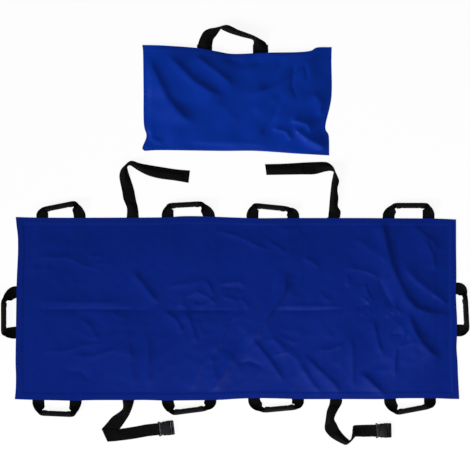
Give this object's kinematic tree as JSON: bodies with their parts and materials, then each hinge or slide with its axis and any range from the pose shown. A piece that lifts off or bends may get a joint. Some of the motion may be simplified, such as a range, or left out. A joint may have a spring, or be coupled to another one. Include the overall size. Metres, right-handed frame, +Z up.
{
  "type": "folding fabric stretcher",
  "caption": "Soft folding fabric stretcher laid flat, with webbing carry handles, strap halves with side-release buckles, and its carry bag.",
  "frame": {"origin": "middle of the mat, on the upper face that the casualty lies on; the floor is 2.5 mm below, under the sewn webbing", "axes": "+X along the mat to the picture's right, +Y across the mat towards the carry bag, +Z up"},
  "size_m": [1.9492, 1.7474, 0.028],
  "materials": {
    "coated_blue_fabric": "deep blue PU-coated woven polyester, soft satin",
    "blue_bag_fabric": "blue PU-coated woven polyester, satin",
    "black_webbing": "black ribbed polypropylene webbing, dull",
    "black_grip_rubber": "black moulded grip, matt",
    "black_buckle_plastic": "black moulded acetal, low satin"
  },
  "bodies": {
    "mat_1": {"mat_panel_1": "coated_blue_fabric", "cross_webbing_1_left": "black_webbing", "cross_webbing_1_right": "black_webbing", "end_tab_left_far": "black_webbing", "end_tab_left_near": "black_webbing"},
    "mat_2": {"mat_panel_2": "coated_blue_fabric", "strap_webbing_left": "black_webbing", "cross_webbing_2_left": "black_webbing", "cross_webbing_2_right": "black_webbing"},
    "mat_3": {"mat_panel_3": "coated_blue_fabric", "strap_webbing_right": "black_webbing", "cross_webbing_3_left": "black_webbing", "cross_webbing_3_right": "black_webbing"},
    "mat_4": {"mat_panel_4": "coated_blue_fabric", "cross_webbing_4_left": "black_webbing", "cross_webbing_4_right": "black_webbing", "end_tab_right_far": "black_webbing", "end_tab_right_near": "black_webbing"},
    "far_1_handle": {"handle_far_1": "black_webbing", "grip_far_1": "black_grip_rubber"},
    "far_2_handle": {"handle_far_2": "black_webbing", "grip_far_2": "black_grip_rubber"},
    "far_3_handle": {"handle_far_3": "black_webbing", "grip_far_3": "black_grip_rubber"},
    "far_4_handle": {"handle_far_4": "black_webbing", "grip_far_4": "black_grip_rubber"},
    "near_1_handle": {"handle_near_1": "black_webbing", "grip_near_1": "black_grip_rubber"},
    "near_2_handle": {"handle_near_2": "black_webbing", "grip_near_2": "black_grip_rubber"},
    "near_3_handle": {"handle_near_3": "black_webbing", "grip_near_3": "black_grip_rubber"},
    "near_4_handle": {"handle_near_4": "black_webbing", "grip_near_4": "black_grip_rubber"},
    "left_end_handle": {"handle_left_end": "black_webbing", "grip_left_end": "black_grip_rubber"},
    "right_end_handle": {"handle_right_end": "black_webbing", "grip_right_end": "black_grip_rubber"},
    "far_left_strap": {"strap_far_left": "black_webbing"},
    "far_right_strap": {"strap_far_right": "black_webbing"},
    "near_left_strap": {"strap_near_left": "black_webbing"},
    "near_right_strap": {"strap_near_right": "black_webbing"},
    "left_buckle": {"buckle_socket_left": "black_buckle_plastic"},
    "left_plug": {"buckle_plug_left": "black_buckle_plastic"},
    "left_arm_far": {"buckle_arm_left_far": "black_buckle_plastic"},
    "left_arm_near": {"buckle_arm_left_near": "black_buckle_plastic"},
    "right_buckle": {"buckle_socket_right": "black_buckle_plastic"},
    "right_plug": {"buckle_plug_right": "black_buckle_plastic"},
    "right_arm_far": {"buckle_arm_right_far": "black_buckle_plastic"},
    "right_arm_near": {"buckle_arm_right_near": "black_buckle_plastic"},
    "bag": {"bag_back_panel": "blue_bag_fabric", "bag_front_panel": "blue_bag_fabric", "bag_handle_tab_left": "black_webbing", "bag_handle_tab_right": "black_webbing"},
    "bag_loop": {"bag_handle": "black_webbing"}
  },
  "joints": [
    {"name": "fold_1", "type": "hinge", "parent": "mat_1", "child": "mat_2", "pos_m": [-0.5205, 0, 0.00095], "axis": [0, -1, 0], "range_deg": [0, 165]},
    {"name": "fold_2", "type": "hinge", "parent": "mat_2", "child": "mat_3", "pos_m": [-0.027, 0, -0.00095], "axis": [0, 1, 0], "range_deg": [0, 165]},
    {"name": "fold_3", "type": "hinge", "parent": "mat_3", "child": "mat_4", "pos_m": [0.4665, 0, 0.00095], "axis": [0, -1, 0], "range_deg": [0, 165]},
    {"name": "lift_far_1_handle", "type": "hinge", "parent": "mat_1", "child": "far_1_handle", "pos_m": [-0.7305, 0.379, -0.0011], "axis": [-1, 0, 0], "range_deg": [-120, 0]},
    {"name": "lift_far_2_handle", "type": "hinge", "parent": "mat_2", "child": "far_2_handle", "pos_m": [-0.202, 0.379, -0.0011], "axis": [-1, 0, 0], "range_deg": [-120, 0]},
    {"name": "lift_far_3_handle", "type": "hinge", "parent": "mat_3", "child": "far_3_handle", "pos_m": [0.149, 0.379, -0.0011], "axis": [-1, 0, 0], "range_deg": [-120, 0]},
    {"name": "lift_far_4_handle", "type": "hinge", "parent": "mat_4", "child": "far_4_handle", "pos_m": [0.712, 0.379, -0.0011], "axis": [-1, 0, 0], "range_deg": [-120, 0]},
    {"name": "lift_near_1_handle", "type": "hinge", "parent": "mat_1", "child": "near_1_handle", "pos_m": [-0.747, -0.379, -0.0011], "axis": [1, 0, 0], "range_deg": [-120, 0]},
    {"name": "lift_near_2_handle", "type": "hinge", "parent": "mat_2", "child": "near_2_handle", "pos_m": [-0.199, -0.379, -0.0011], "axis": [1, 0, 0], "range_deg": [-120, 0]},
    {"name": "lift_near_3_handle", "type": "hinge", "parent": "mat_3", "child": "near_3_handle", "pos_m": [0.162, -0.379, -0.0011], "axis": [1, 0, 0], "range_deg": [-120, 0]},
    {"name": "lift_near_4_handle", "type": "hinge", "parent": "mat_4", "child": "near_4_handle", "pos_m": [0.718, -0.379, -0.0011], "axis": [1, 0, 0], "range_deg": [-120, 0]},
    {"name": "lift_left_end_handle", "type": "hinge", "parent": "mat_1", "child": "left_end_handle", "pos_m": [-0.9165, -0.016, -0.0011], "axis": [0, -1, 0], "range_deg": [-120, 0]},
    {"name": "lift_right_end_handle", "type": "hinge", "parent": "mat_4", "child": "right_end_handle", "pos_m": [0.9165, -0.004, -0.0011], "axis": [0, 1, 0], "range_deg": [-120, 0]},
    {"name": "raise_far_left_strap", "type": "hinge", "parent": "mat_2", "child": "far_left_strap", "pos_m": [-0.434, 0.379, -0.0011], "axis": [-1, 0, 0], "range_deg": [-120, 0]},
    {"name": "raise_far_right_strap", "type": "hinge", "parent": "mat_3", "child": "far_right_strap", "pos_m": [0.4, 0.379, -0.0011], "axis": [-1, 0, 0], "range_deg": [-120, 0]},
    {"name": "raise_near_left_strap", "type": "hinge", "parent": "mat_2", "child": "near_left_strap", "pos_m": [-0.452, -0.379, -0.0011], "axis": [1, 0, 0], "range_deg": [-120, 0]},
    {"name": "raise_near_right_strap", "type": "hinge", "parent": "mat_3", "child": "near_right_strap", "pos_m": [0.411, -0.379, -0.0011], "axis": [1, 0, 0], "range_deg": [-120, 0]},
    {"name": "swing_left_buckle", "type": "hinge", "parent": "near_left_strap", "child": "left_buckle", "pos_m": [-0.324, -0.5, 0.0043], "axis": [-0.1153, 0.9933, 0], "range_deg": [-60, 0]},
    {"name": "pull_left_plug", "type": "slide", "parent": "left_buckle", "child": "left_plug", "axis": [0.9933, 0.1153, 0], "range_m": [0, 0.045], "deforming": ["buckle_arm_left_far", "buckle_arm_left_near"]},
    {"name": "squeeze_left_arm_far", "type": "hinge", "parent": "left_plug", "child": "left_arm_far", "pos_m": [-0.28623, -0.4785, 0.0043], "axis": [0, 0, 1], "range_deg": [0, 14], "stiffness_Nm_per_rad": 1.5},
    {"name": "squeeze_left_arm_near", "type": "hinge", "parent": "left_plug", "child": "left_arm_near", "pos_m": [-0.28231, -0.51228, 0.0043], "axis": [0, 0, -1], "range_deg": [0, 14], "stiffness_Nm_per_rad": 1.5},
    {"name": "swing_right_buckle", "type": "hinge", "parent": "near_right_strap", "child": "right_buckle", "pos_m": [0.577, -0.5065, 0.0043], "axis": [-0.0227, 0.9997, 0], "range_deg": [-60, 0]},
    {"name": "pull_right_plug", "type": "slide", "parent": "right_buckle", "child": "right_plug", "axis": [0.9997, 0.0227, 0], "range_m": [0, 0.045], "deforming": ["buckle_arm_right_far", "buckle_arm_right_near"]},
    {"name": "squeeze_right_arm_far", "type": "hinge", "parent": "right_plug", "child": "right_arm_far", "pos_m": [0.6166, -0.4886, 0.0043], "axis": [0, 0, 1], "range_deg": [0, 14], "stiffness_Nm_per_rad": 1.5},
    {"name": "squeeze_right_arm_near", "type": "hinge", "parent": "right_plug", "child": "right_arm_near", "pos_m": [0.61738, -0.52259, 0.0043], "axis": [0, 0, -1], "range_deg": [0, 14], "stiffness_Nm_per_rad": 1.5},
    {"name": "lift_bag", "type": "slide", "parent": "mat_1", "child": "bag", "axis": [0, 0, 1], "range_m": [0, 0.4]},
    {"name": "lift_bag_handle", "type": "hinge", "parent": "bag", "child": "bag_loop", "pos_m": [-0.0185, 1.095, 0.0004], "axis": [-1, 0, 0], "range_deg": [-90, 0]}
  ],
  "couplings": [
    {"joint": "fold_2", "follows": "fold_1", "ratio": 1},
    {"joint": "fold_3", "follows": "fold_1", "ratio": 1},
    {"joint": "squeeze_left_arm_near", "follows": "squeeze_left_arm_far", "ratio": 1},
    {"joint": "squeeze_right_arm_near", "follows": "squeeze_right_arm_far", "ratio": 1}
  ]
}
